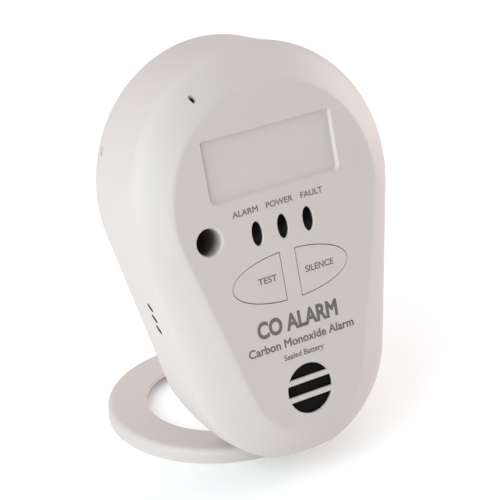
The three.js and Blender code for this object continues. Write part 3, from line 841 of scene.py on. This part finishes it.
gauze_radius = GRILLE_POCKET - GAP
gauze_front = GRILLE_SKIN + GAP
gauze = ((gauze_radius, gauze_front), (gauze_radius, gauze_front + 0.4))
fit(piece("sounder_gauze", spindle(0, GRILLE_Y, gauze, 64)), woven_gauze(), "case",
    "grille_gauze")



def washer(x, y, inner, outer, front, rear, edge=0.1):
    """A flat ring with softened edges."""
    profile = ((inner, front + edge), (inner + edge, front), (outer - edge, front),
               (outer, front + edge), (outer, rear - edge), (outer - edge, rear),
               (inner + edge, rear), (inner, rear - edge))
    return spindle(x, y, profile, 64, endless=True)


fit(piece("sounder_foam_ring", washer(0, GRILLE_Y, 8.0, 11.0, 2.3, 4.0)), foam_black,
    "case", "sounder_gasket")

cup = ((2.2, SOUNDER_FRONT + 0.2), (2.4, SOUNDER_FRONT), (SOUNDER_RADIUS - 0.5, SOUNDER_FRONT),
       (SOUNDER_RADIUS - 0.1, SOUNDER_FRONT + 0.1), (SOUNDER_RADIUS, SOUNDER_FRONT + 0.5),
       (SOUNDER_RADIUS, SOUNDER_REAR - 0.1), (SOUNDER_RADIUS - 0.1, SOUNDER_REAR),
       (SOUNDER_RADIUS - 1.2, SOUNDER_REAR), (SOUNDER_RADIUS - 1.3, SOUNDER_REAR - 0.1),
       (SOUNDER_RADIUS - 1.3, SOUNDER_FRONT + 1.2), (2.2, SOUNDER_FRONT + 1.2))
fit(piece("sounder_cup", spindle(0, GRILLE_Y, cup, 64, endless=True)), black_plastic, "case",
    "sounder")

disc = ((10.85, 9.6), (10.9, 9.65), (10.9, 10.15), (10.85, 10.2))
fit(piece("sounder_plate", spindle(0, GRILLE_Y, disc, 64)), rolled_brass, "case",
    "sounder_disc")

dress(frame["nodes"]["sounder_lead_red"], moulded(
    "lead_red", (0.42, 0.02, 0.015), (0.34, 0.015, 0.012), 0.0004, 0.1, (0.3, 0.42)))
dress(frame["nodes"]["sounder_lead_black"], moulded(
    "lead_black", (0.012, 0.012, 0.013), (0.02, 0.02, 0.021), 0.0004, 0.1, (0.3, 0.42)))

# ---- Circuit board ---------------------------------------------------------
# Green fibreglass board with tracks under its solder resist, screwed to three
# posts. It carries the controller, a capacitor and the sounder's boost coil.
BOARD = (7.0, 33.5, -10.0, 30.0)
BOARD_FOOT = -31.0
ON_BOARD = BOARD_REAR + GAP


def solder_resist():
    """Green lacquer with paler lines where copper tracks run under it."""
    material = moulded("solder_resist", (0.02, 0.13, 0.045), (0.014, 0.10, 0.035),
                       0.001, 0.05, (0.2, 0.3), Coat_Weight=0.4, Coat_Roughness=0.15)
    tree = material.node_tree
    tracks = tree.nodes.new("ShaderNodeTexBrick")
    tracks.inputs["Scale"].default_value = 160
    tracks.inputs["Mortar Size"].default_value = 0.035
    for socket, shade in (("Color1", 0), ("Color2", 0), ("Mortar", 1)):
        tracks.inputs[socket].default_value = (shade, shade, shade, 1)
    tree.links.new(in_case_axes(tree), tracks.inputs["Vector"])
    overlay(material, tracks.outputs["Color"], (0.07, 0.26, 0.09))
    return material


board_rings = [[(x, y, depth) for x, y in hull(BOARD, 0.0, BOARD_FOOT)]
               for depth in (BOARD_FRONT, BOARD_REAR)]
board = piece("circuit_board", loft(board_rings))
board_holes = spindle(WELL_X, WELL_Y, ((5.6, 0), (5.6, 14)), 48)
for hole_x, hole_y in BOARD_SCREWS:
    spindle(hole_x, hole_y, ((1.4, 0), (1.4, 14)), 24, into=board_holes)
carve(board, board_holes)
fit(board, solder_resist(), "case", "main_board")

CHIP_X, CHIP_Y, CHIP_REAR = -11, -12, 12.2
chip = piece("controller_chip", slab(CHIP_X, CHIP_Y, 3.3, 3.3, ON_BOARD + 0.1, CHIP_REAR))
carve(chip, spindle(CHIP_X - 2.4, CHIP_Y + 2.4, ((0.4, CHIP_REAR - 0.1), (0.4, 13)), 16))
fit(chip, black_plastic, "case", "microcontroller")
legs = bmesh.new()
for leg in range(8):
    offset = (leg - 3.5) * 0.8
    for leg_side in (-1, 1):
        slab(CHIP_X + leg_side * 3.65, CHIP_Y + offset, 0.34, 0.18, ON_BOARD, ON_BOARD + 0.5,
             0.05, 0.04, legs)
        slab(CHIP_X + offset, CHIP_Y + leg_side * 3.65, 0.18, 0.34, ON_BOARD, ON_BOARD + 0.5,
             0.05, 0.04, legs)
fit(piece("controller_legs", legs), zinc_steel, "case", "microcontroller")

can = ((2.9, ON_BOARD), (3.2, ON_BOARD + 0.3), (3.2, 12.4), (2.9, 12.8), (3.2, 13.2),
       (3.2, 20.2), (2.9, 20.5), (2.6, 20.5), (2.5, 20.35))
fit(piece("capacitor_can", spindle(-9, -24, can)), moulded(
    "capacitor_sleeve", (0.02, 0.035, 0.12), (0.015, 0.028, 0.10), 0.0008, 0.04, (0.2, 0.3)),
    "case", "capacitor")


def wound_copper():
    """Enamelled wire in close turns round the coil."""
    material = moulded("wound_copper", (0.42, 0.15, 0.05), (0.30, 0.10, 0.035),
                       0.0005, 0.1, (0.25, 0.4), Metallic=0.85)
    tree = material.node_tree
    return emboss(material, bands(tree, in_case_axes(tree), "Z", 0.0004), 0.0002)


bobbin = ((4.3, ON_BOARD), (4.4, ON_BOARD + 0.1), (4.4, 12.0), (4.3, 12.1), (3.2, 12.3),
          (3.2, 17.7), (4.3, 17.9), (4.4, 18.0), (4.4, 18.9), (4.3, 19.0))
fit(piece("boost_coil_winding", spindle(-20, -16, bobbin)), wound_copper(), "case",
    "boost_coil")

# ---- Gas cell --------------------------------------------------------------
# A pale grey sealed can with a small gas inlet in its rear step. A foam ring
# seals it to the slots in the rear cover.
CELL_X, CELL_Y, CELL_RADIUS = 12, -16, 9.5
cell = ((CELL_RADIUS - 0.6, ON_BOARD), (CELL_RADIUS, ON_BOARD + 0.6), (CELL_RADIUS, 21.8),
        (CELL_RADIUS - 0.3, 22.3), (CELL_RADIUS - 1.2, 22.8), (CELL_RADIUS - 1.2, 25.7),
        (CELL_RADIUS - 1.7, 26.2), (1.3, 26.2), (1.2, 26.1), (1.2, 25.2))
fit(piece("gas_cell", spindle(CELL_X, CELL_Y, cell, 64)), moulded(
    "sensor_grey", (0.60, 0.61, 0.58), (0.54, 0.55, 0.53), 0.0007, 0.15, (0.35, 0.5)),
    "case", "co_sensor")
fit(piece("gas_cell_seal", washer(CELL_X, CELL_Y, 4.0, 7.2, 26.5, 28.5)), foam_black,
    "case", "sensor_gasket")

# ---- Battery ---------------------------------------------------------------
# A sealed lithium cell in a blue shrink sleeve, lying across the board on a foam
# pad between two welded steel tabs.
BATTERY_Y, BATTERY_HALF, BATTERY_RADIUS, BATTERY_DEPTH = 20, 22.5, 8.2, 20.3


def along_battery(a, b, x):
    return at(x, BATTERY_Y + a, BATTERY_DEPTH + b)


sleeve = []
for end in (-1, 1):
    stages = [(BATTERY_RADIUS - 2.0, 0.35), (BATTERY_RADIUS - 1.9, 0.0),
              (BATTERY_RADIUS - 0.7, 0.0), (BATTERY_RADIUS - 0.2, 0.2), (BATTERY_RADIUS, 0.7)]
    sleeve += [(r, end * (BATTERY_HALF - inset)) for r, inset in stages[::-end]]
sleeve_rings = [ellipse(0, 0, r, r, x, 64) for r, x in sleeve]
fit(piece("battery_sleeve", loft(sleeve_rings, along_battery)), moulded(
    "battery_blue", (0.03, 0.10, 0.34), (0.024, 0.085, 0.29), 0.0012, 0.06, (0.18, 0.3)),
    "case", "battery")
fit(piece("battery_foam_pad", slab(0, BATTERY_Y, 15, 4, ON_BOARD, 11.8)), foam_black, "case",
    "battery_pad")
for tab_name, tab_side in (("left", -1), ("right", 1)):
    tab = slab(tab_side * (BATTERY_HALF + 0.6), BATTERY_Y, 0.3, 2.25, ON_BOARD,
               BATTERY_DEPTH + 1, 0.05, 0.04)
    fit(piece(f"battery_strap_{tab_name}", tab), zinc_steel, "case",
        f"battery_tab_{tab_name}")

# ---- Rear cover ------------------------------------------------------------
# A white ABS plate set inside the rim of the front cover. It has two keyholes,
# gas slots, a label recess and, at the foot, two lugs for the hinge pin.
COVER_INSET, LIP, SCREW_SINK = WALL + GAP, 1.4, 1.1
LUG_X, LUG_HALF, LUG_RADIUS, PIN_RADIUS = 11.95, 2.15, 1.9, 1.0
LUG_LOW, LUG_HIGH, LUG_REAR = -57.4, -49.0, CASE_DEPTH + 0.2
LABEL_Y, LABEL_HALF_WIDTH, LABEL_HALF_HEIGHT, LABEL_RECESS = 8, 22, 13, 0.9
KEY_X, KEY_Y, KEY_HEAD, KEY_SLOT, KEY_RISE = 16, 35.5, 3.9, 2.1, 6.0
hinge_y = (hinge_pin_at - case_origin).dot(upward) / MM
hinge_depth = (hinge_pin_at - case_origin).dot(inward) / MM


def hinge_lug(side):
    """A web from the plate down to a round eye on the pin."""
    mesh = bmesh.new()
    corners = []
    for x in (side * LUG_X - LUG_HALF, side * LUG_X + LUG_HALF):
        eye = ellipse(hinge_y, hinge_depth, LUG_RADIUS, LUG_RADIUS, x, 48)
        corners += [at(x, y, depth) for y, depth, _ in eye]
        corners += [at(x, LUG_LOW, LUG_REAR), at(x, LUG_HIGH, LUG_REAR)]
    verts = [mesh.verts.new(corner) for corner in corners]
    bmesh.ops.convex_hull(mesh, input=verts)
    return mesh


def rear_cover():
    """The plate, welded to its well stem and lugs, then cut through."""
    stages = ((-LIP, REAR_COVER_FRONT), (-LIP, REAR_COVER_FRONT - 1.9),
              (-LIP + 0.1, REAR_COVER_FRONT - 2), (-0.2, REAR_COVER_FRONT - 2),
              (0, REAR_COVER_FRONT - 1.8), (0, CASE_DEPTH - 0.35), (-0.1, CASE_DEPTH - 0.1),
              (-0.35, CASE_DEPTH))
    made = piece("rear_cover_plate", loft([
        [(x, y, depth) for x, y in hull(REAR, grow - COVER_INSET)] for grow, depth in stages]))
    carve(made, spindle(WELL_X, WELL_Y, ((3.2, WELL_DEEP + 3.2), (3.2, REAR_COVER_FRONT + 0.5)),
                        32), "UNION")
    middle = (LUG_LOW + LUG_HIGH) / 2
    for side in (-1, 1):
        carve(made, slab(side * LUG_X, middle, LUG_HALF - 0.05, (LUG_HIGH - LUG_LOW) / 2,
                         CASE_DEPTH - 0.6, LUG_REAR + 0.1), "UNION")
        carve(made, hinge_lug(side), "UNION")
    cutter = loft([[(y, depth, x) for y, depth, x in
                    ellipse(hinge_y, hinge_depth, PIN_RADIUS + GAP, PIN_RADIUS + GAP, x, 32)]
                   for x in (-20, 20)], lambda y, depth, x: at(x, y, depth))
    spindle(WELL_X, WELL_Y, ((PILOT_RADIUS, WELL_DEEP + 1), (PILOT_RADIUS, 24)), 24, into=cutter)
    for x, y in CASE_SCREWS:
        sink = ((1.4, REAR_COVER_FRONT - 1), (1.4, CASE_DEPTH - SCREW_SINK),
                (3.0, CASE_DEPTH - SCREW_SINK), (3.0, CASE_DEPTH - 0.15),
                (3.2, CASE_DEPTH + 0.05), (3.2, CASE_DEPTH + 1))
        spindle(x, y, sink, 32, into=cutter)
    loft([rounded_ring(0, LABEL_Y, LABEL_HALF_WIDTH + 0.4, LABEL_HALF_HEIGHT + 0.4, 2, depth)
          for depth in (CASE_DEPTH - LABEL_RECESS, CASE_DEPTH + 1)], into=cutter)
    for i in range(4):
        y = CELL_Y - 6 + i * 4
        loft([slot_ring(CELL_X, y, 7, 0.8, depth) for depth in (REAR_COVER_FRONT - 3,
              CASE_DEPTH + 1)], into=cutter)
    for side in (-1, 1):
        loft([slot_ring(side * KEY_X, KEY_Y + KEY_RISE / 2, KEY_RISE / 2 + KEY_SLOT, KEY_SLOT,
                        depth, math.pi / 2, 12) for depth in (REAR_COVER_FRONT - 1,
              CASE_DEPTH + 1)], into=cutter)
    carve(made, cutter)
    heads = bmesh.new()
    for side in (-1, 1):
        spindle(side * KEY_X, KEY_Y, ((KEY_HEAD, REAR_COVER_FRONT - 1),
                                      (KEY_HEAD, CASE_DEPTH - 0.2),
                                      (KEY_HEAD + 1.2, CASE_DEPTH + 1)), 48, into=heads)
    carve(made, heads)
    return made


fit(rear_cover(), shell_white, "case", "rear_cover")

# ---- Rating label ----------------------------------------------------------
# A silver polyester label in the recess of the rear cover, printed with plain
# grey rules.
label_front = CASE_DEPTH - LABEL_RECESS + GAP
label_rear = label_front + 0.3
label_silver = moulded("label_silver", (0.62, 0.63, 0.63), (0.56, 0.57, 0.58),
                       0.0009, 0.05, (0.3, 0.42))
fit(piece("rating_label", slab(0, LABEL_Y, LABEL_HALF_WIDTH, LABEL_HALF_HEIGHT, label_front,
                               label_rear, 1.6, 0.05)),
    label_silver, "case", "rear_label")
rules = bmesh.new()
for row, half in enumerate((17.5, 12.0, 15.5, 9.0, 14.0)):
    slab(18 - half, LABEL_Y + 8.0 - row * 4.0, half, 0.3, label_rear - INK_SUNK,
         label_rear + INK_PROUD, 0.1, 0.01, rules)
rules_print = piece("label_rules", rules)
soften(rules_print)
dress(rules_print, legend_ink)
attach(rules_print, "case")

# ---- Screws ----------------------------------------------------------------
# Zinc-plated pan-head screws with a cross recess and a coarse thread, as used
# in plastic.
HEAD_RADIUS, SHANK_RADIUS, THREAD_PITCH = 2.5, 1.0, 0.7
CROSS_HALF_LENGTH, CROSS_HALF_WIDTH, CROSS_TURN = 1.4, 0.3, 0.3


def screw(name, node, x, y, head, seat, tip):
    """A screw from the top of its head, past its seat, to its tip."""
    way = 1 if tip > head else -1
    profile = [(HEAD_RADIUS - 0.9, head), (HEAD_RADIUS - 0.35, head + way * 0.1),
               (HEAD_RADIUS, head + way * 0.35), (HEAD_RADIUS, seat), (SHANK_RADIUS, seat)]
    turns = int((abs(tip - seat) - 1.2) / THREAD_PITCH)
    for i in range(turns):
        depth = seat + way * (0.2 + i * THREAD_PITCH)
        profile += [(SHANK_RADIUS - 0.25, depth), (SHANK_RADIUS - 0.25, depth + way * 0.25),
                    (SHANK_RADIUS, depth + way * 0.45)]
    profile += [(SHANK_RADIUS - 0.3, tip - way * 0.8), (0.12, tip)]
    made = piece(name, spindle(x, y, profile, 40))
    depths = sorted((head - way, head + way * 0.5))
    for turn in (CROSS_TURN, CROSS_TURN + math.pi / 2):
        carve(made, loft([box_ring(x, y, CROSS_HALF_LENGTH, CROSS_HALF_WIDTH, depth, turn)
                          for depth in depths]))
    fit(made, zinc_steel, "case", node, 28)


for number, (screw_x, screw_y) in enumerate(BOARD_SCREWS, 1):
    screw(f"board_fixing_{number}", f"board_screw_{number}", screw_x, screw_y,
          ON_BOARD + 1.5, ON_BOARD, 4.5)
for number, (screw_x, screw_y) in enumerate(CASE_SCREWS, 1):
    rear_seat = CASE_DEPTH - SCREW_SINK + GAP
    screw(f"case_fixing_{number}", f"case_screw_{number}", screw_x, screw_y,
          rear_seat + 0.6, rear_seat, 16)
well_seat = WELL_DEEP - GAP
screw("well_fixing", "well_screw", WELL_X, WELL_Y, well_seat - 1.5, well_seat, 21)

# ---- Stand ring and its pin ------------------------------------------------
# A white ABS ring with a turned-down rim. It folds on one steel pin, held by
# three knuckles under its front that sit between and outside the two lugs.
RING_OUTER, RING_INNER, RING_CENTRE = 35.2, 23.3, 23.6
RING_TOP, RING_HEIGHT, RING_PLATE, RING_SKIRT = 2.2, 4.5, 1.6, 1.9
RING_BOTTOM = RING_TOP - RING_HEIGHT
NOTCH_INNER, NOTCH_OUTER = LUG_X - LUG_HALF - GAP, LUG_X + LUG_HALF + GAP


def on_stand(x, y, z):
    """A point of the stand, from millimetres across, to the rear and up."""
    return hinge_pin_at + Vector((x, y, z)) * MM


def ring_profile():
    """The ring's section as (radius, height) pairs, with rounded edges."""
    inner, outer = RING_INNER, RING_OUTER
    floor = RING_TOP - RING_PLATE
    section = [(inner, floor + 0.15), (inner, RING_TOP - 0.45), (inner + 0.13, RING_TOP - 0.13),
               (inner + 0.45, RING_TOP)]
    for i in range(13):
        angle = math.radians(90 - 90 * i / 12)
        section.append((outer - RING_SKIRT * (1 - math.cos(angle)),
                        RING_TOP - RING_SKIRT * (1 - math.sin(angle))))
    section += [(outer, RING_BOTTOM + 0.2), (outer - 0.2, RING_BOTTOM),
                (outer - RING_SKIRT + 0.2, RING_BOTTOM), (outer - RING_SKIRT, RING_BOTTOM + 0.2),
                (outer - RING_SKIRT, floor), (inner + 0.15, floor)]
    return section


def stand_ring():
    """The ring with its knuckles, the notches between them and the pin's bore."""
    section = ring_profile()
    steps = 180
    rings = []
    for i in range(steps):
        angle = 2 * math.pi * i / steps
        rings.append([(r * math.sin(angle), RING_CENTRE + r * math.cos(angle), z)
                      for r, z in section])
    made = piece("stand_ring_moulding", loft(rings, on_stand, endless=True))
    end = NOTCH_OUTER + 4
    knuckles = loft([[(x, y, z) for x, y, _ in box_ring(0, -0.2, end, 2.5, 0)]
                     for z in (RING_BOTTOM + GAP, RING_TOP)], on_stand)
    carve(made, knuckles, "UNION")
    notches = bmesh.new()
    for side in (-1, 1):
        half = (NOTCH_OUTER - NOTCH_INNER) / 2
        loft([box_ring(side * LUG_X, 3.2, half, 5.75, z) for z in (-5, 5)], on_stand, notches)
    carve(made, notches)
    bore = [ellipse(0, 0, PIN_RADIUS + GAP, PIN_RADIUS + GAP, x, 32)
            for x in (-end + 1.2, end - 1.2)]
    carve(made, loft(bore, lambda a, b, x: on_stand(x, a, b)))
    return made


fit(stand_ring(), shell_white, "stand", "stand_ring")

PIN_HALF = NOTCH_OUTER + 2.4
pin_stages = ((-0.2, -PIN_HALF), (0, -PIN_HALF + 0.2), (0, PIN_HALF - 0.2), (-0.2, PIN_HALF))
pin_rings = [ellipse(0, 0, PIN_RADIUS + grow, PIN_RADIUS + grow, x, 32) for grow, x in pin_stages]
fit(piece("hinge_rod", loft(pin_rings, lambda a, b, x: on_stand(x, a, b))), zinc_steel,
    "case", "hinge_pin")
